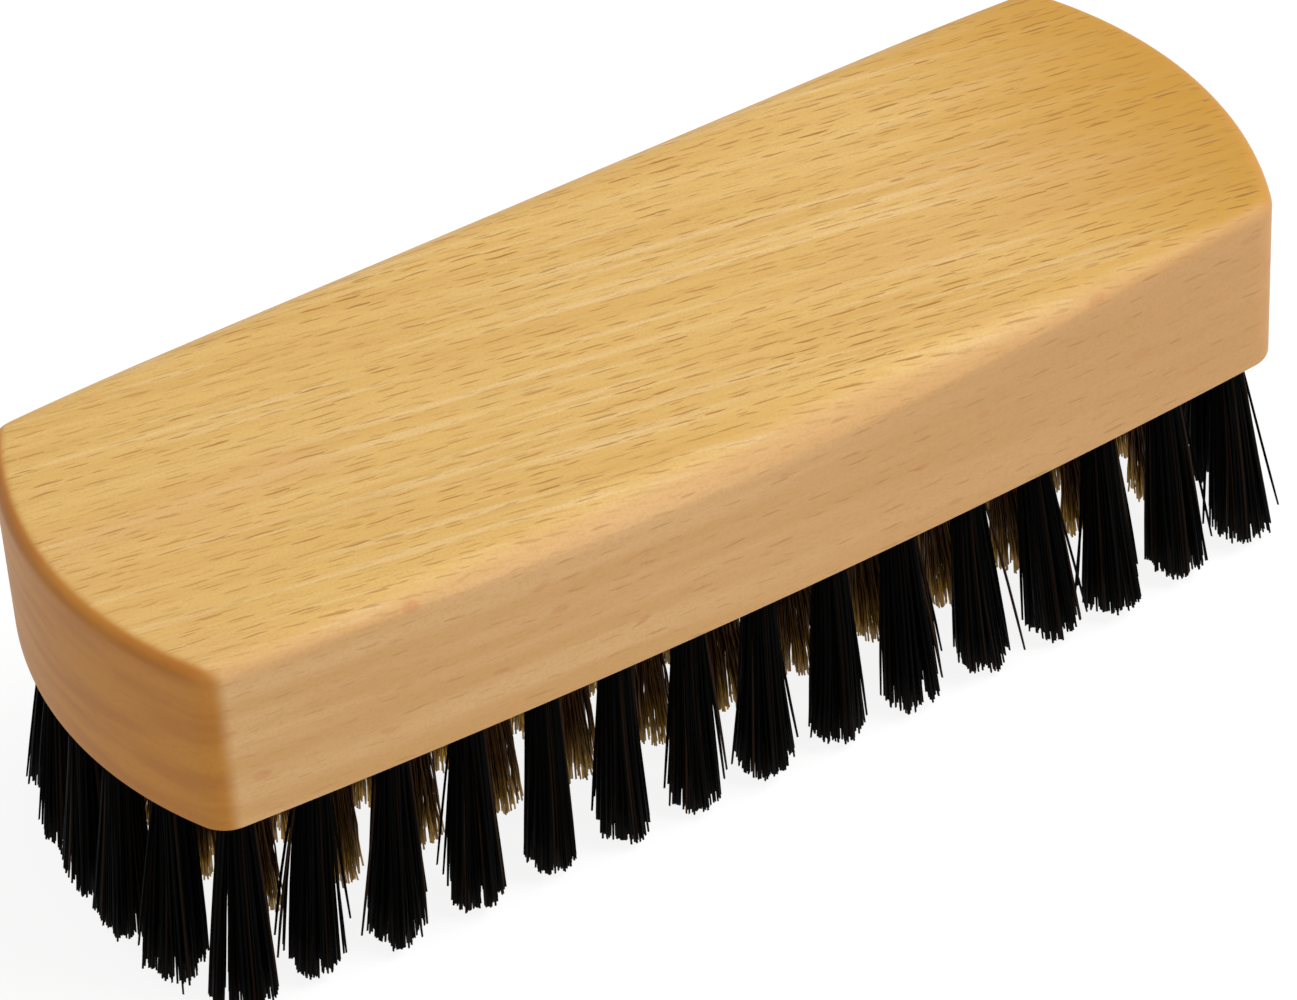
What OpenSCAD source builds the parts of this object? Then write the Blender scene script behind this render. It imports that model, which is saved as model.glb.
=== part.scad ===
// Suede brush: a beech block with drilled tuft holes in its underside. A ring of black bristle
// tufts stands round the edge, and tufts of brass wire fill the inside. Each tuft is folded over
// a flat wire anchor at the bottom of its hole. The brush stands on its bristle tips at z = 0,
// with its length along X and its width along Y. The front is -Y.

/* [Block] */
// Length of the block over its rounded ends
block_length = 125; // [115:1:140]
// Width of the block at its middle
block_width = 45; // [42:0.5:50]
// Thickness of the block
block_height = 19.5; // [16:0.5:25]
// Radius of the bowed long sides, seen from above
side_radius = 790; // [600:10:1500]
// Radius of the rounded ends, seen from above
end_radius = 41; // [36:0.5:55]
// Radius of the upright corners between the sides and the ends
corner_radius = 3.6; // [2.4:0.1:5]
// Radius of the long top edges that the hand holds
grip_radius = 4.5; // [3:0.1:6]
// How far the rounding of a long top edge would run past the widest point of the side
grip_runout = 0.3; // [0.2:0.05:0.6]
// Radius of the sanded edge round the top
top_easing = 1.5; // [0.6:0.1:2]
// Chamfer round the bottom edge
bottom_chamfer = 0.4; // [0.2:0.1:0.8]
// How far a round corner would stand out past the sides that it blends into
corner_runout = 0.02; // [0.01:0.01:0.04]

/* [Tuft holes] */
// Diameter of the drilled tuft holes
hole_diameter = 3.4; // [3:0.1:3.8]
// Depth of the tuft holes down to the drill point
hole_depth = 9; // [7:0.5:11]
// Full angle of the drill point
drill_angle = 118; // [90:1:140]
// Distance from the long sides to the centres of the outer holes
side_margin = 3.6; // [3:0.1:5]
// Distance from the ends to the centres of the outer holes
end_margin = 3.8; // [3.2:0.1:5]

/* [Tufts] */
// Length of the black bristles below the block
bristle_length = 24; // [20:0.5:28]
// Length of the brass wires below the block
brass_length = 21; // [17:0.5:23]
// Distance from the axis of a black tuft to its outer strands at the tips
bristle_splay = 2.2; // [1.6:0.1:2.5]
// Distance from the axis of a brass tuft to its outer strands at the tips
brass_splay = 2; // [1.4:0.1:2.4]
// Distance from a corner of a black strand to its middle, at the root
bristle_strand = 0.5; // [0.3:0.05:0.55]
// The same at the tip, where the strand fans out
bristle_strand_tip = 0.85; // [0.5:0.05:0.9]
// Distance from a corner of a brass strand to its middle, at the root
brass_strand = 0.4; // [0.25:0.05:0.5]
// The same at the tip
brass_strand_tip = 0.6; // [0.4:0.05:0.7]
// How far the tips of the tufts at the two ends lean outwards
end_lean = 2; // [0:0.1:3]
// How far the tips of the outer rows lean outwards
side_lean = 0.4; // [0:0.1:1]
// Depth that the last trim takes off the black tips, so that they end flat
trim_depth = 0.5; // [0.2:0.1:1]
// How unevenly the brass wires end
brass_unevenness = 0.5; // [0:0.1:1]

/* [Anchors] */
// Thickness of the flat anchor wire
anchor_thickness = 0.35; // [0.25:0.05:0.5]
// Width of the flat anchor wire, upright in the hole
anchor_width = 2.2; // [1.6:0.1:2.6]
// How far each end of an anchor bites into the wood beside its hole
anchor_bite = 0.8; // [0.5:0.1:1]
// Bevel on the leading corners of an anchor
anchor_bevel = 0.4; // [0.2:0.05:0.6]
// Thickness of the folded tuft between its anchor and the bottom of the hole
fold_thickness = 1.2; // [0.8:0.1:1.6]

/* [Fits] */
// Gap between a packed tuft and the wall of its hole
tuft_clearance = 0.05; // [0.02:0.01:0.1]
// Gap round an anchor, in the fold and in the wood
anchor_clearance = 0.02; // [0.01:0.01:0.05]

/* [Hidden] */
// Tuft holes along the length and across the width
columns = 15;
rows = 6;
// Strands of a black tuft and of a brass tuft that stand round its axis
bristle_ring = 6;
brass_ring = 4;
// Depth of the strands inside the packed root
strand_overlap = 0.6;
// Turn from each tuft to the next, so that no two neighbours look alike
tuft_turn = 137.5;
// Where a strand bends outwards, as shares of its length and of its splay
bend_share = 0.45;
splay_share = 0.3;
// Waves round a brass tuft in the ends of its wires, and the step from wire to wire
end_waves = 3;
end_step = 50;
// How far a cutting shape stands out of what it cuts
overcut = 1;
// Sides of the large circles and of the small ones
large_sides = 1440;
small_sides = 48;

underside = bristle_length;
root_radius = hole_diameter / 2 - tuft_clearance;
drill_point = hole_diameter / 2 / tan(drill_angle / 2);
anchor_length = hole_diameter + 2 * anchor_bite;
anchor_middle = underside + hole_depth - fold_thickness - anchor_width / 2;
side_centre = side_radius - block_width / 2;
end_centre = block_length / 2 - end_radius;

wood = [0.86, 0.70, 0.43];
bristle_black = [0.08, 0.07, 0.07];
brass = [0.55, 0.44, 0.24];
anchor_steel = [0.70, 0.70, 0.68];

function two_digits(n) = n < 10 ? str("0", n) : str(n);
front_names = [for (c = [1 : columns]) str("bristle_tuft_front_", two_digits(c))];
back_names = [for (c = [1 : columns]) str("bristle_tuft_back_", two_digits(c))];
left_names = [for (r = [2 : rows - 1]) str("bristle_tuft_left_", r - 1)];
right_names = [for (r = [2 : rows - 1]) str("bristle_tuft_right_", r - 1)];
brass_names = [for (c = [2 : columns - 1]) str("brass_tufts_column_", two_digits(c - 1))];

// Where column c lies along the length and row r across the width, from -1 to 1
function along(c) = 2 * (c - 1) / (columns - 1) - 1;
function across(r) = 2 * (r - 1) / (rows - 1) - 1;

// Half the width of the block at x, and half its length at y
function side_reach(x) = sqrt(side_radius * side_radius - x * x) - side_centre;
function end_reach(y) = sqrt(end_radius * end_radius - y * y) + end_centre;

// Centre of the hole in column c and row r: the grid is bowed as the block's outline is
function hole_at(c, r) =
    let (
        y_middle = across(r) * (block_width / 2 - side_margin),
        x = along(c) * (end_reach(y_middle) - end_margin)
    )
    [x, across(r) * (side_reach(x) - side_margin)];

function lean_at(c, r) = [end_lean * along(c), side_lean * across(r)];
function is_outer(c, r) = c == 1 || c == columns || r == 1 || r == rows;
outer_places = [for (c = [1 : columns], r = [1 : rows]) if (is_outer(c, r)) hole_at(c, r)];
inner_places = [for (c = [2 : columns - 1], r = [2 : rows - 1]) hole_at(c, r)];

// Centre of the round corner between the back side and the right end
inner_side = side_radius - corner_radius;
inner_end = end_radius - corner_radius;
centre_gap = norm([end_centre, side_centre]);
corner_run = (inner_side ^ 2 - inner_end ^ 2 + centre_gap ^ 2) / (2 * centre_gap);
corner_rise = sqrt(inner_side ^ 2 - corner_run ^ 2);
corner = [
    (corner_run * end_centre + corner_rise * side_centre) / centre_gap,
    (corner_run * side_centre - corner_rise * end_centre) / centre_gap - side_centre
];
angle_to_side = atan2(corner.y + side_centre, corner.x);
angle_to_end = atan2(corner.y, corner.x - end_centre);

function ray(angle, length) = length * [cos(angle), sin(angle)];

// Half section of a disc, with its chamfered bottom edge and its round top edge
module disc_section(radius, height) {
    inner = radius - top_easing;
    shoulder = height - top_easing;
    polygon([
        [0, 0], [radius - bottom_chamfer, 0], [radius, bottom_chamfer], [radius, shoulder],
        [inner, shoulder], [inner, height], [0, height]
    ]);
    translate([inner, shoulder])
        intersection() {
            circle(top_easing, $fn = small_sides);
            square(top_easing);
        }
}

module disc(radius, height, sides) {
    rotate_extrude($fn = sides)
        disc_section(radius, height);
}

// The space that a rounded end may fill: its disc, and all that lies towards the other end
module end_limit() {
    translate([end_centre, 0, 0])
        disc(end_radius, block_height, large_sides);
    translate([end_centre - block_length, -block_width, 0])
        cube([block_length, 2 * block_width, block_height]);
}

// The upright wedge in which a corner is rounded
module corner_wedge() {
    reach = 4 * corner_radius;
    middle = (angle_to_side + angle_to_end) / 2;
    translate([corner.x, corner.y, -overcut])
        linear_extrude(block_height + 2 * overcut)
            polygon([
                [0, 0], ray(angle_to_end, reach), ray(middle, 2 * reach), ray(angle_to_side, reach)
            ]);
}

// What a round corner takes off
module corner_waste() {
    difference() {
        corner_wedge();
        translate([corner.x, corner.y, -corner_runout])
            disc(corner_radius + corner_runout, block_height + 2 * corner_runout, small_sides);
    }
}

module at_four_corners() {
    for (sx = [0, 1], sy = [0, 1])
        mirror([sx, 0, 0])
            mirror([0, sy, 0])
                children();
}

// Outline of the block, bowed on all four sides
module bowed_slab() {
    difference() {
        intersection() {
            translate([0, -side_centre, 0])
                disc(side_radius, block_height, large_sides);
            translate([0, side_centre, 0])
                disc(side_radius, block_height, large_sides);
            end_limit();
            mirror([1, 0, 0])
                end_limit();
        }
        at_four_corners()
            corner_waste();
    }
}

// Section across the block, with the rounded long top edges
module grip_section() {
    half = block_width / 2 + grip_runout;
    inner = half - grip_radius;
    shoulder = block_height - grip_radius;
    translate([-half, -overcut])
        square([2 * half, shoulder + overcut]);
    translate([-inner, 0])
        square([2 * inner, block_height]);
    for (side = [0, 1])
        mirror([side, 0])
            translate([inner, shoulder])
                intersection() {
                    circle(grip_radius, $fn = 2 * small_sides);
                    square(grip_radius);
                }
}

module block_body() {
    intersection() {
        bowed_slab();
        rotate([90, 0, 90])
            linear_extrude(block_length + 2 * overcut, center = true)
                grip_section();
    }
}

// A drilled hole, upwards from the underside
module tuft_hole(place) {
    translate([place.x, place.y, underside])
        rotate_extrude($fn = small_sides)
            polygon([
                [0, -overcut], [hole_diameter / 2, -overcut], [hole_diameter / 2, hole_depth],
                [0, hole_depth + drill_point]
            ]);
}

// A flat wire anchor, or with a gap the space round it
module anchor(place, gap = 0) {
    half = anchor_length / 2 + gap;
    rise = anchor_width / 2 + gap;
    translate([place.x, place.y, anchor_middle])
        rotate([90, 0, 0])
            linear_extrude(anchor_thickness + 2 * gap, center = true)
                polygon([
                    [-half, -rise], [half, -rise], [half, rise - anchor_bevel],
                    [half - anchor_bevel, rise], [anchor_bevel - half, rise],
                    [-half, rise - anchor_bevel]
                ]);
}

// The packed root of a tuft, folded round its anchor
module packed_root(place) {
    difference() {
        translate([place.x, place.y, underside])
            cylinder(h = hole_depth - tuft_clearance, r = root_radius, $fn = small_sides);
        anchor(place, anchor_clearance);
    }
}

// A three-sided strand with a ring at its root, its bend and its tip
function strand_ring(middle, radius, turn) =
    [for (i = [0 : 2]) [
        middle.x + radius * cos(turn + 120 * i),
        middle.y + radius * sin(turn + 120 * i),
        middle.z
    ]];

module strand(root, bend, tip, root_radius, tip_radius, turn) {
    bend_radius = root_radius + bend_share * (tip_radius - root_radius);
    points = concat(
        strand_ring(root, root_radius, turn),
        strand_ring(bend, bend_radius, turn),
        strand_ring(tip, tip_radius, turn)
    );
    walls = [for (ring = [0, 3], i = [0 : 2])
        let (a = ring + i, b = ring + (i + 1) % 3)
        each [[a, b, b + 3], [a, b + 3, a + 3]]];
    polyhedron(points, concat([[2, 1, 0]], walls, [[6, 7, 8]]));
}

// The strands of one tuft: ring strands round its axis, and one along the axis if wanted
module strands(place, lean, tip_z, ring, middle, splays, radii, turn, uneven) {
    top = underside + strand_overlap;
    first = middle ? 0 : 1;
    for (i = [first : ring]) {
        angle = turn + 360 * i / ring;
        out = i == 0 ? [0, 0] : [cos(angle), sin(angle)];
        end_z = tip_z + uneven * sin(end_waves * angle + end_step * i);
        fall = underside - end_z;
        bend_xy = place + bend_share * lean + out * (splays[0] + splay_share * (splays[1] - splays[0]));
        tip_xy = place + lean + out * splays[1];
        root_xy = place + out * splays[0];
        strand(
            [root_xy.x, root_xy.y, top],
            [bend_xy.x, bend_xy.y, underside - bend_share * fall],
            [tip_xy.x, tip_xy.y, end_z],
            radii[0], radii[1], i == 0 ? angle + 30 : angle + 180
        );
    }
}

// Distance from the axis of a tuft to its outer strands where they leave the hole
function root_splay(strand) = root_radius - tuft_clearance - strand;

// The black strands would end trim_depth below the standing plane and are cut flat on it
module bristle_tuft(c, r) {
    place = hole_at(c, r);
    kept = bristle_length / (bristle_length + trim_depth);
    splay = root_splay(bristle_strand);
    color(bristle_black) {
        packed_root(place);
        strands(
            place, kept * lean_at(c, r), 0, bristle_ring, true,
            [splay, splay + kept * (bristle_splay - splay)],
            [bristle_strand, bristle_strand + kept * (bristle_strand_tip - bristle_strand)],
            tuft_turn * (c + r * columns), 0
        );
    }
}

module brass_tuft(c, r) {
    place = hole_at(c, r);
    packed_root(place);
    strands(
        place, lean_at(c, r), bristle_length - brass_length, brass_ring, false,
        [root_splay(brass_strand), brass_splay], [brass_strand, brass_strand_tip],
        tuft_turn * (c + r * columns), brass_unevenness
    );
}

module brass_column(c) {
    color(brass)
        for (r = [2 : rows - 1])
            brass_tuft(c, r);
}

module anchors(places) {
    color(anchor_steel)
        for (place = places)
            anchor(place);
}

module wood_block() {
    color(wood)
        difference() {
            translate([0, 0, underside])
                block_body();
            for (place = concat(outer_places, inner_places)) {
                tuft_hole(place);
                anchor(place, anchor_clearance);
            }
        }
}

wood_block();
for (c = [1 : columns])
    bristle_tuft(c, 1);
for (c = [1 : columns])
    bristle_tuft(c, rows);
for (r = [2 : rows - 1])
    bristle_tuft(1, r);
for (r = [2 : rows - 1])
    bristle_tuft(columns, r);
for (c = [2 : columns - 1])
    brass_column(c);
anchors(outer_places);  // bristle_anchors
anchors(inner_places);  // brass_anchors
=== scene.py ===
import math

import bpy
import numpy as np
from mathutils import Matrix, Vector


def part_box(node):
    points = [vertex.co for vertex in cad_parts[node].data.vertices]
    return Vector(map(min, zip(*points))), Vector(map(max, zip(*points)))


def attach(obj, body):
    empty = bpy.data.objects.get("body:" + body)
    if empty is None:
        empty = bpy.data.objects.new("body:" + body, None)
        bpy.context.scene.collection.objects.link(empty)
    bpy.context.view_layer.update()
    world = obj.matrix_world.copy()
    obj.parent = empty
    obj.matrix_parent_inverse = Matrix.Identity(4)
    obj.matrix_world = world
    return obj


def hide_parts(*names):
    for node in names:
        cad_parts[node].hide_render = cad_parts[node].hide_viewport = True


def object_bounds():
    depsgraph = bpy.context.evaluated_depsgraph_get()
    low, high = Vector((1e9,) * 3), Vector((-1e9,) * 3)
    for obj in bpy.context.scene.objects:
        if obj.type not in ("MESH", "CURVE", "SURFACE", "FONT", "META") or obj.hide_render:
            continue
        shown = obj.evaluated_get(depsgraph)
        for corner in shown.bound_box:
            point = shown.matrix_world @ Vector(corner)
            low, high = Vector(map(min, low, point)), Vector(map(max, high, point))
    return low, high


MM = 0.001
SEED = 7

# Layout of the brush, with the values of the part's source
COLUMNS = 15
ROWS = 6
SIDE_RADIUS = 790 * MM
END_RADIUS = 41 * MM
CORNER_RADIUS = 3.6 * MM
GRIP_RADIUS = 4.5 * MM
GRIP_RUNOUT = 0.3 * MM
TOP_EASING = 1.5 * MM
BOTTOM_CHAMFER = 0.4 * MM
HOLE_RADIUS = 1.7 * MM
HOLE_DEPTH = 9 * MM
SIDE_MARGIN = 3.6 * MM
END_MARGIN = 3.8 * MM
BRASS_LENGTH = 21 * MM
END_LEAN = 2 * MM
SIDE_LEAN = 0.4 * MM

# Every tuft: how its filaments start in the hole and how they spread
ROOT_DEPTH = 1.5 * MM
ROOT_MARGIN = 0.3 * MM
SPREAD_CURVE = 0.95
TIP_MARGIN = 0.4 * MM
TIP_SCATTER = 0.8 * MM
CLUMP_REACH = 0.8
GOLDEN_ANGLE = math.radians(137.508)

# Black tufts
BRISTLES_PER_TUFT = 180
BRISTLE_RADIUS = 0.16 * MM
BRISTLE_TAPER = 0.75
BRISTLE_RINGS = 7
BRISTLE_SPREAD = 3.05 * MM
SPREAD_RANGE = (0.92, 1.08)
END_FANNING = (1.1, 1.35)
BRISTLE_CLUMPS = 9
BRISTLE_PULL = 0.42
BRISTLE_JITTER = 0.2 * MM
TUFT_JITTER = 0.35 * MM
BOW = 0.2 * MM
STRAY_SHARE = 0.06
STRAY_REACH = (1.1, 1.6)
STRAY_SHORTFALL = 3 * MM
TIP_DOME = 1.5 * MM
TIP_RAGGEDNESS = 0.4 * MM
CLUMP_SHORTFALL = 0.8 * MM

# Brass tufts
WIRES_PER_TUFT = 120
WIRE_RADIUS = 0.11 * MM
WIRE_RINGS = 13
WIRE_SPREAD = 2.9 * MM
WIRE_CLUMPS = 6
WIRE_PULL = 0.25
WIRE_JITTER = 0.15 * MM
WIRE_DOME = 1.3 * MM
WIRE_ENDS = (-0.35 * MM, 0.6 * MM)
WIRE_TURN = 1.0
CRIMP = 0.08 * MM
CRIMP_WAVES = 3.5
CRIMP_ONSET = 0.25

# Mesh of the block: the insets of its rings, its points on the outline, its edges and its holes
INSETS = [d * MM for d in (0, 0.05, 0.16, 0.32, 0.55, 0.85, 1.2, 1.6, 2.1, 2.7, 3.4, 4.2, 5.2)]
WALL_MARGIN = 0.7 * MM
END_TURN = math.radians(31)
CORNER_TURN = math.radians(85)
END_POINTS = 40
CORNER_POINTS = 30
SIDE_POINTS = 40
EDGE_MERGING = 4
WELD_DISTANCE = 0.0005 * MM
HOLE_SIDES = 24
OVERCUT = 1 * MM
SHARP_ANGLE = math.radians(35)

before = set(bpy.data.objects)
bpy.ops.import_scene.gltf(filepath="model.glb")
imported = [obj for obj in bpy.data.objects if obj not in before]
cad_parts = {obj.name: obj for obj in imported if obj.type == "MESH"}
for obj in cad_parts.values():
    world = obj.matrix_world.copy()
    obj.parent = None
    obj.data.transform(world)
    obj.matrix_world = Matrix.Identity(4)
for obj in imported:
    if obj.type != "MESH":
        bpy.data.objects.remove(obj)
cad_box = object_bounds()
box_low, box_high = cad_box
block_low, block_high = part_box("wood_block")
LENGTH = block_high.x - block_low.x
WIDTH = block_high.y - block_low.y
UNDERSIDE = block_low.z
HEIGHT = block_high.z - block_low.z
BLOCK_MIDDLE = Vector((0, 0, UNDERSIDE + HEIGHT / 2))
tip_low = np.array(box_low)[:2] + TIP_MARGIN
tip_high = np.array(box_high)[:2] - TIP_MARGIN
random = np.random.default_rng(SEED)


# Layout of the tuft holes

def along(column):
    """Place of a column along the brush, from -1 to 1."""
    return 2 * (column - 1) / (COLUMNS - 1) - 1


def across(row):
    """Place of a row across the brush, from -1 to 1."""
    return 2 * (row - 1) / (ROWS - 1) - 1


def side_reach(x):
    """Distance from the middle of the brush to its bowed side."""
    return math.sqrt(SIDE_RADIUS ** 2 - x * x) - (SIDE_RADIUS - WIDTH / 2)


def end_reach(y):
    """Distance from the middle of the brush to its round end."""
    return math.sqrt(END_RADIUS ** 2 - y * y) + (LENGTH / 2 - END_RADIUS)


def hole_at(column, row):
    """Centre of a tuft hole: the grid is bowed as the block's outline is."""
    y_middle = across(row) * (WIDTH / 2 - SIDE_MARGIN)
    x = along(column) * (end_reach(y_middle) - END_MARGIN)
    return np.array([x, across(row) * (side_reach(x) - SIDE_MARGIN)])


def lean_at(column, row):
    """How far the tips of a tuft lean outwards."""
    return np.array([END_LEAN * along(column), SIDE_LEAN * across(row)])


# Meshes

def mesh_object(name, verts, faces, smooth=True):
    mesh = bpy.data.meshes.new(name)
    mesh.from_pydata(verts, [], faces)
    mesh.validate()
    if smooth:
        mesh.shade_smooth()
    obj = bpy.data.objects.new(name, mesh)
    bpy.context.scene.collection.objects.link(obj)
    return obj


def cap_face(start, count):
    """The face that closes a ring of corners, seen from above."""
    return tuple(range(start, start + count))


def wall_faces(start, count):
    """The faces between a ring of corners and the ring that follows it."""
    above = start + count
    return [
        (start + k, start + (k + 1) % count, above + (k + 1) % count, above + k)
        for k in range(count)
    ]


def tube_mesh(paths, radii):
    """Three-sided tubes with closed ends. paths: filaments x rings x 3, radii: filaments x rings."""
    filaments, rings, _ = paths.shape
    turns = random.uniform(0, math.tau, filaments)
    corners = []
    for k in range(3):
        angle = turns + math.tau * k / 3
        ray = np.stack([np.cos(angle), np.sin(angle), np.zeros(filaments)], axis=1)
        corners.append(paths + ray[:, None, :] * radii[:, :, None])
    verts = np.stack(corners, axis=2).reshape(-1, 3)
    first = np.arange(filaments)[:, None, None] * rings * 3
    here = first + np.arange(rings - 1)[None, :, None] * 3
    below = here + 3
    a = np.arange(3)[None, None, :]
    b = (a + 1) % 3
    walls = np.stack([here + a, below + a, below + b, here + b], axis=3)
    root = first[:, 0] + np.array([0, 1, 2])
    tip = first[:, 0] + (rings - 1) * 3 + np.array([2, 1, 0])
    return verts, walls.reshape(-1, 4), np.concatenate([root, tip])


# Tufts

def packed_disc(count, turn):
    """Evenly packed points in a disc of radius 1."""
    index = np.arange(count) + 0.5
    radius = np.sqrt(index / count)
    angle = index * GOLDEN_ANGLE + turn
    return np.column_stack([radius * np.cos(angle), radius * np.sin(angle)])


def clumped(points, clumps, pull):
    """The points, drawn to the nearest of a few centres as bristles cling together, and which."""
    centres = packed_disc(clumps, random.uniform(0, math.tau)) * CLUMP_REACH
    nearest = np.argmin(np.linalg.norm(points[:, None] - centres[None], axis=2), axis=1)
    return points + pull * (centres[nearest] - points), nearest


def ring_shares(rings):
    """Shares of the way from the rim of the hole to the tip. The first ring lies in the hole."""
    return np.concatenate([[0], np.linspace(0, 1, rings - 1)])


def tuft_paths(place, lean, ends, height_of_tip, rings):
    """Centre lines that run straight down to the rim of the hole and spread from there on."""
    share = ring_shares(rings)
    roots = place + packed_disc(len(ends), 0.0) * (HOLE_RADIUS - ROOT_MARGIN)
    scatter = random.uniform(0, TIP_SCATTER, (len(ends), 1))
    tips = np.clip(place + lean + ends, tip_low + scatter, tip_high - scatter)
    spread = share ** SPREAD_CURVE
    xy = roots[:, None] + spread[None, :, None] * (tips - roots)[:, None]
    z = UNDERSIDE + share[None, :] * (height_of_tip - UNDERSIDE)[:, None]
    z[:, 0] += ROOT_DEPTH
    return np.concatenate([xy, z[:, :, None]], axis=2)


def bristle_ends(column, gathered):
    """Where the bristles of a tuft end, seen from above, and which of them stray."""
    count = len(gathered)
    ends = gathered * BRISTLE_SPREAD * random.uniform(*SPREAD_RANGE)
    if column in (1, COLUMNS):
        ends *= END_FANNING
    ends += random.normal(0, BRISTLE_JITTER, (count, 2)) + random.normal(0, TUFT_JITTER, 2)
    stray = random.random(count) < STRAY_SHARE
    ends[stray] *= random.uniform(*STRAY_REACH, stray.sum())[:, None]
    return ends, stray


def bristle_tuft(column, row):
    """Black bristles in a few slightly bowed clumps, ragged at their tips, a few of them astray."""
    count = BRISTLES_PER_TUFT
    disc = packed_disc(count, 0.0)
    gathered, clump = clumped(disc, BRISTLE_CLUMPS, BRISTLE_PULL)
    ends, stray = bristle_ends(column, gathered)
    tip_z = TIP_DOME * (disc ** 2).sum(1) + np.abs(random.normal(0, TIP_RAGGEDNESS, count))
    tip_z += random.uniform(0, CLUMP_SHORTFALL, BRISTLE_CLUMPS)[clump]
    tip_z += stray * random.uniform(0, STRAY_SHORTFALL, count)
    tip_z -= tip_z.min()
    paths = tuft_paths(hole_at(column, row), lean_at(column, row), ends, tip_z, BRISTLE_RINGS)
    bows = random.uniform(-BOW, BOW, (BRISTLE_CLUMPS, 2))[clump]
    paths[:, :, :2] += np.sin(math.pi * ring_shares(BRISTLE_RINGS))[None, :, None] * bows[:, None]
    radii = np.full(paths.shape[:2], BRISTLE_RADIUS)
    radii[:, -1] *= BRISTLE_TAPER
    return paths, radii


def brass_tuft(column, row):
    """Crimped brass wires, cut more squarely than the bristles."""
    count = WIRES_PER_TUFT
    disc = packed_disc(count, WIRE_TURN)
    gathered, _ = clumped(disc, WIRE_CLUMPS, WIRE_PULL)
    ends = gathered * WIRE_SPREAD + random.normal(0, WIRE_JITTER, (count, 2))
    tip_z = UNDERSIDE - BRASS_LENGTH + random.uniform(*WIRE_ENDS, count)
    tip_z += WIRE_DOME * (disc ** 2).sum(1)
    paths = tuft_paths(hole_at(column, row), lean_at(column, row), ends, tip_z, WIRE_RINGS)
    share = ring_shares(WIRE_RINGS)
    phase = random.uniform(0, math.tau, (count, 1))
    heading = random.uniform(0, math.tau, count)
    growth = np.minimum(1, share / CRIMP_ONSET)
    wave = CRIMP * np.sin(math.tau * CRIMP_WAVES * share[None] + phase) * growth
    paths[:, :, 0] += wave * np.cos(heading)[:, None]
    paths[:, :, 1] += wave * np.sin(heading)[:, None]
    return paths, np.full(paths.shape[:2], WIRE_RADIUS)


def filament_object(node, tufts, slot, ending):
    """One mesh with every filament of a node's tufts."""
    paths = np.concatenate([tuft[0] for tuft in tufts])
    radii = np.concatenate([tuft[1] for tuft in tufts])
    verts, quads, caps = tube_mesh(paths, radii)
    obj = mesh_object(node + ending, verts.tolist(), quads.tolist() + caps.tolist())
    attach(obj, "root")
    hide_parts(node)
    obj.data.materials.append(materials[slot])
    return obj


def outer_nodes():
    """Node name, column and row of each black tuft."""
    for column in range(1, COLUMNS + 1):
        yield f"bristle_tuft_front_{column:02d}", column, 1
        yield f"bristle_tuft_back_{column:02d}", column, ROWS
    for row in range(2, ROWS):
        yield f"bristle_tuft_left_{row - 1}", 1, row
        yield f"bristle_tuft_right_{row - 1}", COLUMNS, row


# Block

def quarter_angles():
    """Directions of the outline's normal in one quarter, dense on the end, corner and side."""
    on_end = np.linspace(0, END_TURN, END_POINTS)
    on_corner = np.linspace(END_TURN, CORNER_TURN, CORNER_POINTS)
    on_side = np.linspace(CORNER_TURN, math.pi / 2, SIDE_POINTS)
    return np.unique(np.concatenate([on_end, on_corner, on_side]))


ANGLES = quarter_angles()


def outline(inset):
    """Outline of the block, set in from its edge: bowed sides, round ends and round corners."""
    width, length = WIDTH - 2 * inset, LENGTH - 2 * inset
    corner = max(CORNER_RADIUS - inset, 0)
    side, end = SIDE_RADIUS - inset - corner, END_RADIUS - inset - corner
    side_y, end_x = width / 2 - corner - side, length / 2 - corner - end
    gap = math.hypot(end_x, side_y)
    run = (side ** 2 - end ** 2 + gap ** 2) / (2 * gap)
    rise = math.sqrt(side ** 2 - run ** 2)
    ux, uy = end_x / gap, -side_y / gap
    vertex = (run * ux + rise * uy, side_y + run * uy - rise * ux)
    points = []
    for angle in ANGLES:
        c, s = math.cos(angle), math.sin(angle)
        if end * s <= vertex[1]:
            x, y = end_x + end * c, end * s
        elif side * c <= vertex[0]:
            x, y = side * c, side_y + side * s
        else:
            x, y = vertex
        points.append((x + corner * c, y + corner * s))
    first = np.array(points)
    second = first[::-1] * (-1, 1)
    half = np.concatenate([first, second[1:]])
    return np.concatenate([half, -half[1:-1]])


def top_drop(points, inset):
    """How far the top lies below its highest level: the long round edge and the easing, merged."""
    half = WIDTH / 2 + GRIP_RUNOUT
    past = np.clip(np.abs(points[:, 1]) - (half - GRIP_RADIUS), 0, GRIP_RADIUS)
    grip = GRIP_RADIUS - np.sqrt(GRIP_RADIUS ** 2 - past ** 2)
    inner = max(TOP_EASING - inset, 0)
    easing = TOP_EASING - math.sqrt(TOP_EASING ** 2 - inner ** 2)
    return (grip ** EDGE_MERGING + easing ** EDGE_MERGING) ** (1 / EDGE_MERGING)


def block_rings():
    """Rings of corners from the chamfer at the underside, up the wall and in over the top."""
    edge = outline(0)
    count = len(edge)
    wall_top = UNDERSIDE + HEIGHT - top_drop(edge, 0)
    rings = [
        np.column_stack([outline(BOTTOM_CHAMFER), np.full(count, UNDERSIDE)]),
        np.column_stack([edge, np.full(count, UNDERSIDE + BOTTOM_CHAMFER)]),
        np.column_stack([edge, wall_top - WALL_MARGIN]),
    ]
    for inset in INSETS:
        points = outline(inset)
        rings.append(np.column_stack([points, UNDERSIDE + HEIGHT - top_drop(points, inset)]))
    return rings


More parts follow.
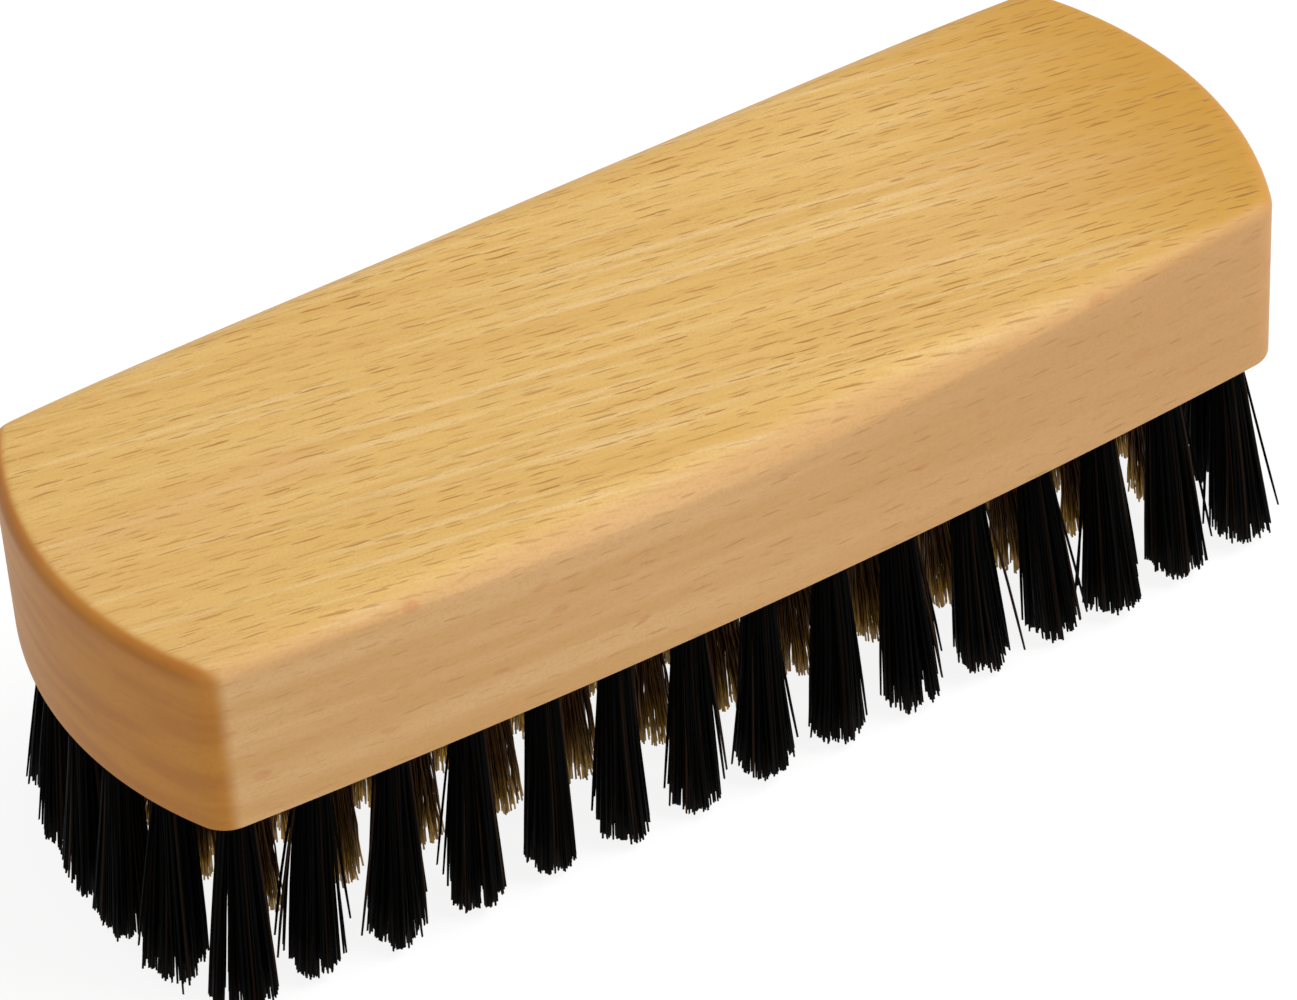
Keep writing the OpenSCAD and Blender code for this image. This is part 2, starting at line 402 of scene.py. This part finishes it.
def block_object():
    rings = block_rings()
    count = len(rings[0])
    last = (len(rings) - 1) * count
    faces = [cap_face(0, count)[::-1]]
    for start in range(0, last, count):
        faces += wall_faces(start, count)
    faces.append(cap_face(last, count))
    block = mesh_object("beech_block", np.concatenate(rings).tolist(), faces)
    weld = block.modifiers.new("weld", "WELD")
    weld.merge_threshold = WELD_DISTANCE
    return block


def hole_ring(place, z):
    """Corners of a tuft hole at one height."""
    angles = [math.tau * k / HOLE_SIDES for k in range(HOLE_SIDES)]
    return [
        (place[0] + HOLE_RADIUS * math.cos(a), place[1] + HOLE_RADIUS * math.sin(a), z)
        for a in angles
    ]


def hole_cutter():
    """One object with the shape of every tuft hole."""
    verts, faces = [], []
    for column in range(1, COLUMNS + 1):
        for row in range(1, ROWS + 1):
            start = len(verts)
            for z in (UNDERSIDE - OVERCUT, UNDERSIDE + HOLE_DEPTH):
                verts += hole_ring(hole_at(column, row), z)
            faces.append(cap_face(start, HOLE_SIDES)[::-1])
            faces.append(cap_face(start + HOLE_SIDES, HOLE_SIDES))
            faces += wall_faces(start, HOLE_SIDES)
    return mesh_object("cutter", verts, faces, smooth=False)


def drill(block):
    """Cuts the tuft holes."""
    cutter = hole_cutter()
    cut = block.modifiers.new("holes", "BOOLEAN")
    cut.object = cutter
    cut.solver = "EXACT"
    bpy.context.view_layer.update()
    evaluated = block.evaluated_get(bpy.context.evaluated_depsgraph_get())
    mesh = bpy.data.meshes.new_from_object(evaluated)
    block.modifiers.clear()
    block.data = mesh
    bpy.data.objects.remove(cutter)
    mesh.shade_smooth()
    mesh.set_sharp_from_angle(angle=SHARP_ANGLE)


# Colours as a screen shows them, from 0 to 255
TOP_GOLD = (232, 189, 112)
TOP_STREAK = (222, 176, 97)
TOP_PALE_STREAK = (238, 203, 142)
TOP_PATCH = (223, 174, 112)
TOP_DEEP_GOLD = (198, 142, 34)
SIDE_GOLD = (231, 184, 127)
SIDE_STREAK = (218, 168, 106)
SIDE_DEEP_GOLD = (208, 156, 96)
FIBRE_BROWN = (192, 142, 76)
SPECKLE_BROWN = (196, 148, 84)
KNOT_PINK = (202, 124, 82)
RAY_BROWN = (166, 113, 48)
END_ORANGE = (204, 137, 46)
END_RING = (191, 122, 40)
END_PORE = (164, 106, 42)
END_RIM = (192, 118, 62)
BLACKEST_BRISTLE = (1, 1, 1)
PALEST_BRISTLE = (5, 3, 2)
BRISTLE_TIP = (22, 15, 12)
PAINTED_GLINT_BROWN = (52, 38, 28)
BRIGHTEST_WIRE = (190, 146, 48)
DULLEST_WIRE = (120, 88, 26)
TARNISH = (84, 62, 20)
WIRE_IN_SHADE = (62, 27, 12)
BRIGHT_STEEL = (190, 190, 186)
DULL_STEEL = (160, 160, 156)

# Turns that lay the grain's direction along X, and the face's other direction along Y
TOP_GRAIN = (0, 0, math.radians(-10.5))
SIDE_GRAIN = (math.radians(90), math.radians(3.5), 0)


def linear(colour):
    """A colour given from 0 to 255, in linear light."""
    shares = [value / 255 for value in colour]
    return tuple(s / 12.92 if s <= 0.04045 else ((s + 0.055) / 1.055) ** 2.4 for s in shares)


class Nodes:
    """Short calls for building one material's node tree."""

    def __init__(self, name):
        self.material = bpy.data.materials.new(name)
        self.material.use_nodes = True
        self.tree = self.material.node_tree
        self.shader = self.tree.nodes["Principled BSDF"]
        self.place = self.tree.nodes.new("ShaderNodeTexCoord").outputs["Object"]
        self.geometry = self.tree.nodes.new("ShaderNodeNewGeometry")

    def link(self, source, target):
        self.tree.links.new(source, target)

    def feed(self, socket, value):
        """Sets a socket to a plain value, or links it."""
        if isinstance(value, (int, float, tuple)):
            socket.default_value = value
        else:
            self.link(value, socket)

    def calc(self, operation, *values, clamp=False):
        node = self.tree.nodes.new("ShaderNodeMath")
        node.operation = operation
        node.use_clamp = clamp
        for socket, value in zip(node.inputs, values):
            self.feed(socket, value)
        return node.outputs[0]

    def vector(self, operation, a, b):
        node = self.tree.nodes.new("ShaderNodeVectorMath")
        node.operation = operation
        self.feed(node.inputs[0], a)
        self.feed(node.inputs["Scale"] if operation == "SCALE" else node.inputs[1], b)
        return node.outputs["Vector"]

    def length(self, vector):
        node = self.tree.nodes.new("ShaderNodeVectorMath")
        node.operation = "LENGTH"
        self.link(vector, node.inputs[0])
        return node.outputs["Value"]

    def split(self, vector):
        node = self.tree.nodes.new("ShaderNodeSeparateXYZ")
        self.link(vector, node.inputs[0])
        return node.outputs

    def mapping(self, size, rotation=(0, 0, 0)):
        """Object coordinates along axes turned by rotation, counted in units of size."""
        node = self.tree.nodes.new("ShaderNodeMapping")
        node.vector_type = "TEXTURE"
        node.inputs["Rotation"].default_value = rotation
        node.inputs["Scale"].default_value = size
        self.link(self.place, node.inputs["Vector"])
        return node.outputs["Vector"]

    def noise(self, vector, scale=1.0, detail=2.0, roughness=0.5, output="Fac"):
        node = self.tree.nodes.new("ShaderNodeTexNoise")
        node.inputs["Scale"].default_value = scale
        node.inputs["Detail"].default_value = detail
        node.inputs["Roughness"].default_value = roughness
        self.link(vector, node.inputs["Vector"])
        return node.outputs[output]

    def grain_noise(self, grain, along, across, detail=2.0, roughness=0.5):
        """Noise drawn out along the grain of a face. Sizes in mm."""
        place = self.mapping((along * MM, across * MM, across * MM), grain)
        return self.noise(place, detail=detail, roughness=roughness)

    def ramp(self, value, low, high):
        """0 where value is low and 1 where it is high. Low may be the larger of the two."""
        node = self.tree.nodes.new("ShaderNodeMapRange")
        node.interpolation_type = "SMOOTHSTEP"
        flip = low > high
        node.inputs["From Min"].default_value = min(low, high)
        node.inputs["From Max"].default_value = max(low, high)
        node.inputs["To Min"].default_value = 1 if flip else 0
        node.inputs["To Max"].default_value = 0 if flip else 1
        self.link(value, node.inputs["Value"])
        return node.outputs["Result"]

    def mix(self, factor, a, b):
        """Colour a where factor is 0 and b where it is 1."""
        node = self.tree.nodes.new("ShaderNodeMix")
        node.data_type = "RGBA"
        for name, value in (("Factor_Float", factor), ("A_Color", a), ("B_Color", b)):
            socket = next(s for s in node.inputs if s.identifier == name)
            self.feed(socket, (*linear(value), 1.0) if isinstance(value, tuple) else value)
        return next(s for s in node.outputs if s.identifier == "Result_Color")

    def tint(self, colour, towards, value, low, high, most=1.0):
        """Mixes a colour with another: not at all where value is low, by most where it is high."""
        return self.mix(self.calc("MULTIPLY", self.ramp(value, low, high), most), colour, towards)

    def bump(self, height, strength, distance):
        node = self.tree.nodes.new("ShaderNodeBump")
        node.inputs["Strength"].default_value = strength
        node.inputs["Distance"].default_value = distance
        self.link(height, node.inputs["Height"])
        self.link(node.outputs["Normal"], self.shader.inputs["Normal"])

    def dress(self, colour, roughness, specular=0.5, metallic=0.0):
        """Sets the shader and hands over the finished material."""
        self.link(colour, self.shader.inputs["Base Color"])
        self.link(roughness, self.shader.inputs["Roughness"])
        self.shader.inputs["Specular IOR Level"].default_value = specular
        self.shader.inputs["Metallic"].default_value = metallic
        return self.material


# Beech

def ray_flecks(nodes, grain, length, thickness, gap_along, gap_across):
    """Short dashes along the grain of one face, where the wood's rays meet it. Sizes in mm."""
    place = nodes.mapping((gap_along * MM, gap_across * MM, 1), grain)
    bend = nodes.vector("SCALE", nodes.noise(place, scale=1.3, detail=1, output="Color"), 0.35)
    place = nodes.vector("ADD", place, bend)
    cells = nodes.tree.nodes.new("ShaderNodeTexVoronoi")
    cells.voronoi_dimensions = "2D"
    cells.inputs["Scale"].default_value = 1
    cells.inputs["Randomness"].default_value = 0.9
    nodes.link(place, cells.inputs["Vector"])
    offset = nodes.vector("SUBTRACT", place, cells.outputs["Position"])
    shape = (2 * gap_along / length, 2 * gap_across / thickness, 0)
    distance = nodes.length(nodes.vector("MULTIPLY", offset, shape))
    red, green, _ = nodes.split(cells.outputs["Color"])
    size = nodes.calc("MULTIPLY_ADD", red, 0.6, 0.55)
    dash = nodes.ramp(nodes.calc("DIVIDE", distance, size), low=1.15, high=0.6)
    return nodes.calc("MULTIPLY", dash, nodes.calc("MULTIPLY_ADD", green, 0.65, 0.35))


def beech_top(nodes, place_x):
    """Gold with paler and deeper streaks, and a deeper gold towards the right end."""
    streaks = nodes.grain_noise(TOP_GRAIN, along=60, across=2.6, detail=3, roughness=0.6)
    pale_streaks = nodes.grain_noise(TOP_GRAIN, along=35, across=0.9)
    patches = nodes.grain_noise(TOP_GRAIN, along=40, across=16)
    colour = nodes.tint(TOP_GOLD, TOP_STREAK, streaks, low=0.3, high=0.72)
    colour = nodes.tint(colour, TOP_PALE_STREAK, pale_streaks, low=0.52, high=0.72, most=0.75)
    colour = nodes.tint(colour, TOP_PATCH, patches, low=0.52, high=0.75, most=0.7)
    return nodes.tint(colour, TOP_DEEP_GOLD, place_x, low=28 * MM, high=64 * MM, most=0.85)


def beech_side(nodes, place_x):
    """A little pinker than the top, with streaks, and deeper towards the right end."""
    streaks = nodes.grain_noise(SIDE_GRAIN, along=50, across=3, detail=3, roughness=0.55)
    colour = nodes.tint(SIDE_GOLD, SIDE_STREAK, streaks, low=0.3, high=0.7)
    return nodes.tint(colour, SIDE_DEEP_GOLD, place_x, low=-20 * MM, high=55 * MM, most=0.65)


def beech_end(nodes, place_z):
    """Orange end grain with growth rings and pores, redder under the top edge."""
    rings = nodes.noise(nodes.mapping((30 * MM, 14 * MM, 2.2 * MM)))
    pores = nodes.noise(nodes.mapping((0.4 * MM, 1.2 * MM, 0.35 * MM)), roughness=0.6)
    colour = nodes.tint(END_ORANGE, END_RING, rings, low=0.35, high=0.7)
    colour = nodes.tint(colour, END_PORE, pores, low=0.5, high=0.75, most=0.25)
    return nodes.tint(colour, END_RIM, place_z, low=38 * MM, high=42.5 * MM, most=0.2)


def beech_knots(nodes, towards_side):
    """Faint short spots on the two sides."""
    knots = ray_flecks(nodes, SIDE_GRAIN, length=2.4, thickness=1.1, gap_along=15, gap_across=6)
    strength = nodes.calc("MULTIPLY", nodes.ramp(towards_side, low=0.1, high=0.4), 0.36)
    return nodes.calc("MULTIPLY", knots, strength)


def beech_rays(nodes, on_side, on_end, place_x):
    """Ray flecks: dense on top, fewer on the sides, none on the ends, fainter at the left."""
    bands = nodes.ramp(nodes.grain_noise(TOP_GRAIN, along=45, across=6), low=0.35, high=0.6)
    long_rays = ray_flecks(nodes, TOP_GRAIN, length=3.3, thickness=0.23, gap_along=3.7, gap_across=1.2)
    short_rays = ray_flecks(nodes, TOP_GRAIN, length=1.8, thickness=0.2, gap_along=3, gap_across=1.4)
    side_rays = ray_flecks(nodes, SIDE_GRAIN, length=2.6, thickness=0.25, gap_along=4.2, gap_across=1.8)
    rays = nodes.calc("MAXIMUM", long_rays, nodes.calc("MULTIPLY", short_rays, 0.7))
    rays = nodes.calc("MULTIPLY", rays, nodes.calc("MULTIPLY_ADD", bands, 0.35, 0.65))
    rays = nodes.calc("MULTIPLY", rays, nodes.calc("SUBTRACT", 1, on_side, clamp=True))
    side_rays = nodes.calc("MULTIPLY", nodes.calc("MULTIPLY", side_rays, 0.42), on_side)
    rays = nodes.calc("ADD", rays, side_rays)
    rays = nodes.calc("MULTIPLY", rays, nodes.calc("SUBTRACT", 1, on_end, clamp=True))
    fading = nodes.calc("MULTIPLY_ADD", nodes.ramp(place_x, low=-62 * MM, high=20 * MM), 0.25, 0.75)
    return nodes.calc("MULTIPLY", rays, fading)


def beech_material():
    nodes = Nodes("beech")
    normal_x, normal_y, _ = nodes.split(nodes.geometry.outputs["Normal"])
    place_x, _, place_z = nodes.split(nodes.place)
    towards_side = nodes.calc("ABSOLUTE", normal_y)
    on_side = nodes.ramp(towards_side, low=0.3, high=0.85)
    on_end = nodes.ramp(nodes.calc("ABSOLUTE", normal_x), low=0, high=0.5)
    # Painted shade: the end grain's darker orange goes on fully at the left end, which lies in shade,
    # and only by 0.3 at the lit right end
    left_end_shade_share = nodes.calc("MULTIPLY_ADD", nodes.ramp(place_x, low=10 * MM, high=-10 * MM), 0.7, 0.3)
    end_grain_and_shade_share = nodes.calc("MULTIPLY", on_end, left_end_shade_share)
    fibres = nodes.grain_noise(TOP_GRAIN, along=5, across=0.2, roughness=0.6)
    speckle = nodes.noise(nodes.mapping((0.3 * MM,) * 3), detail=1)
    rays = beech_rays(nodes, on_side, on_end, place_x)

    colour = nodes.mix(on_side, beech_top(nodes, place_x), beech_side(nodes, place_x))
    colour = nodes.tint(colour, FIBRE_BROWN, fibres, low=0.45, high=0.8, most=0.3)
    colour = nodes.tint(colour, SPECKLE_BROWN, speckle, low=0.42, high=0.72, most=0.2)
    colour = nodes.mix(beech_knots(nodes, towards_side), colour, KNOT_PINK)
    colour = nodes.mix(rays, colour, RAY_BROWN)
    # End grain colour: partly the real end grain, partly painted shade, full at the shaded left end
    colour = nodes.mix(end_grain_and_shade_share, colour, beech_end(nodes, place_z))

    nodes.bump(nodes.calc("MULTIPLY_ADD", rays, -0.6, fibres), strength=0.4, distance=0.02 * MM)
    return nodes.dress(colour, nodes.calc("MULTIPLY_ADD", fibres, 0.16, 0.42), specular=0.3)


# Bristles, brass and steel

def bristle_material():
    """Black and paler at the tips, with one bristle in seven painted brown: painted glints along the
    strands.
    """
    nodes = Nodes("black_bristle")
    island = nodes.geometry.outputs["Random Per Island"]
    height = nodes.split(nodes.place)[2]
    streak = nodes.noise(nodes.mapping((0.2 * MM, 0.2 * MM, 3 * MM)), detail=1)
    colour = nodes.mix(island, BLACKEST_BRISTLE, PALEST_BRISTLE)
    colour = nodes.tint(colour, BRISTLE_TIP, height, low=5 * MM, high=0, most=0.5)
    # Painted highlight: a few bristles turn brown to stand for glints along the strands
    colour = nodes.tint(colour, PAINTED_GLINT_BROWN, island, low=0.86, high=1)
    return nodes.dress(colour, nodes.calc("MULTIPLY_ADD", streak, 0.2, 0.55), specular=0.03)


def brass_material():
    """Brass wires, some duller than others, tarnished in patches and dark near the block."""
    nodes = Nodes("brass_wire")
    island = nodes.geometry.outputs["Random Per Island"]
    height = nodes.split(nodes.place)[2]
    tarnish = nodes.noise(nodes.mapping((1.2 * MM,) * 3))
    colour = nodes.mix(island, BRIGHTEST_WIRE, DULLEST_WIRE)
    colour = nodes.tint(colour, TARNISH, tarnish, low=0.45, high=0.7, most=0.5)
    colour = nodes.tint(colour, WIRE_IN_SHADE, height, low=3 * MM, high=11 * MM, most=0.85)
    return nodes.dress(colour, nodes.calc("MULTIPLY_ADD", tarnish, 0.3, 0.25), metallic=0.85)


def anchor_material():
    """Flat steel wire with drawing marks along it."""
    nodes = Nodes("anchor_steel")
    drawn = nodes.noise(nodes.mapping((4 * MM, 0.1 * MM, 0.1 * MM)))
    colour = nodes.tint(BRIGHT_STEEL, DULL_STEEL, drawn, low=0.3, high=0.7)
    return nodes.dress(colour, nodes.calc("MULTIPLY_ADD", drawn, 0.2, 0.25), metallic=1.0)


materials = {
    "beech": beech_material(),
    "black_bristle": bristle_material(),
    "brass_wire": brass_material(),
    "anchor_wire": anchor_material(),
}

# Camera, fitted to the block's edges in the photo
CAMERA_AZIMUTH = math.radians(-29.244)
CAMERA_ELEVATION = math.radians(41.709)
CAMERA_ROLL = math.radians(-3.619)
CAMERA_DISTANCE = 573.299 * MM
CAMERA_SIDEWAYS = 0.265 * MM
CAMERA_UPWARDS = -10.145 * MM
CAMERA_LENS = 170.73
CAMERA_SENSOR = 36
CAMERA_REACH = (0.01, 20)

# World and floor: levels of light and greys, where 1 is white, and the floor's size in metres
WORLD_LEVEL = 0.38
FLOOR_GLOW = 0.88
FLOOR_SHADE = 0.17
FLOOR_PAPER = 0.8
FLOOR_SIZE = 6


def add_camera():
    a, e = CAMERA_AZIMUTH, CAMERA_ELEVATION
    back = Vector((math.sin(a) * math.cos(e), -math.cos(a) * math.cos(e), math.sin(e)))
    right = Vector((math.cos(a), math.sin(a), 0))
    up = back.cross(right)
    c, s = math.cos(CAMERA_ROLL), math.sin(CAMERA_ROLL)
    right, up = right * c + up * s, up * c - right * s
    place = BLOCK_MIDDLE + back * CAMERA_DISTANCE + right * CAMERA_SIDEWAYS + up * CAMERA_UPWARDS
    data = bpy.data.cameras.new("camera")
    data.lens = CAMERA_LENS
    data.sensor_width = CAMERA_SENSOR
    data.clip_start, data.clip_end = CAMERA_REACH
    camera = bpy.data.objects.new("camera", data)
    turn = Matrix((right, up, back)).transposed()
    camera.matrix_world = Matrix.Translation(place) @ turn.to_4x4()
    bpy.context.scene.collection.objects.link(camera)
    bpy.context.scene.camera = camera


def add_light(name, direction, distance, size, level):
    """A square lamp aimed at the brush. level: how bright white paper facing it would render."""
    data = bpy.data.lights.new(name, "AREA")
    data.size = size
    data.energy = level * math.pi ** 2 * distance ** 2
    lamp = bpy.data.objects.new(name, data)
    towards = Vector(direction).normalized()
    lamp.location = BLOCK_MIDDLE + towards * distance
    lamp.rotation_euler = towards.to_track_quat("Z", "Y").to_euler()
    bpy.context.scene.collection.objects.link(lamp)


def seen_rays(tree):
    """1 for rays from the camera and for those that gloss or glass sends on."""
    path = tree.nodes.new("ShaderNodeLightPath")
    total = path.outputs["Is Camera Ray"]
    for name in ("Is Glossy Ray", "Is Transmission Ray"):
        add = tree.nodes.new("ShaderNodeMath")
        add.operation = "MAXIMUM"
        tree.links.new(total, add.inputs[0])
        tree.links.new(path.outputs[name], add.inputs[1])
        total = add.outputs[0]
    return total


def add_world():
    """Even light from all sides, in front of a ground that shows white."""
    world = bpy.data.worlds.new("studio")
    world.use_nodes = True
    bpy.context.scene.world = world
    tree = world.node_tree
    background = tree.nodes["Background"]
    background.inputs["Color"].default_value = (1, 1, 1, 1)
    strength = tree.nodes.new("ShaderNodeMapRange")
    strength.inputs["To Min"].default_value = WORLD_LEVEL
    strength.inputs["To Max"].default_value = 1
    tree.links.new(seen_rays(tree), strength.inputs["Value"])
    tree.links.new(strength.outputs["Result"], background.inputs["Strength"])


def grey_paper(tree, level):
    paper = tree.nodes.new("ShaderNodeBsdfDiffuse")
    paper.inputs["Color"].default_value = (level, level, level, 1)
    return paper


def floor_material():
    """Shows white with a faint shadow, and lights the brush as pale paper does."""
    material = bpy.data.materials.new("floor")
    material.use_nodes = True
    tree = material.node_tree
    tree.nodes.clear()
    glow = tree.nodes.new("ShaderNodeEmission")
    glow.inputs["Strength"].default_value = FLOOR_GLOW
    seen = tree.nodes.new("ShaderNodeAddShader")
    choice = tree.nodes.new("ShaderNodeMixShader")
    output = tree.nodes.new("ShaderNodeOutputMaterial")
    tree.links.new(grey_paper(tree, FLOOR_SHADE).outputs[0], seen.inputs[0])
    tree.links.new(glow.outputs[0], seen.inputs[1])
    tree.links.new(seen_rays(tree), choice.inputs[0])
    tree.links.new(grey_paper(tree, FLOOR_PAPER).outputs[0], choice.inputs[1])
    tree.links.new(seen.outputs[0], choice.inputs[2])
    tree.links.new(choice.outputs[0], output.inputs["Surface"])
    return material


def add_floor():
    reach = FLOOR_SIZE / 2
    corners = [(-reach, -reach, 0), (reach, -reach, 0), (reach, reach, 0), (-reach, reach, 0)]
    floor = mesh_object("floor", corners, [(0, 1, 2, 3)], smooth=False)
    floor.data.materials.append(floor_material())


add_camera()
add_world()
add_light("key", direction=(0.5, -0.28, 0.88), distance=1.2, size=0.7, level=0.75)
add_light("fill", direction=(-0.45, -0.85, 0.35), distance=1.4, size=0.9, level=0.08)
add_floor()
bpy.context.scene.view_settings.view_transform = "Standard"

# The brush
block = block_object()
drill(block)
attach(block, "root")
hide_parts("wood_block")
block.data.materials.clear()
block.data.materials.append(materials["beech"])

for node, column, row in outer_nodes():
    filament_object(node, [bristle_tuft(column, row)], "black_bristle", "_filaments")
for column in range(2, COLUMNS):
    tufts = [brass_tuft(column, row) for row in range(2, ROWS)]
    filament_object(f"brass_tufts_column_{column - 1:02d}", tufts, "brass_wire", "_wires")

for node in ("bristle_anchors", "brass_anchors"):
    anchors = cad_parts[node]
    anchors.data.materials.clear()
    anchors.data.materials.append(materials["anchor_wire"])
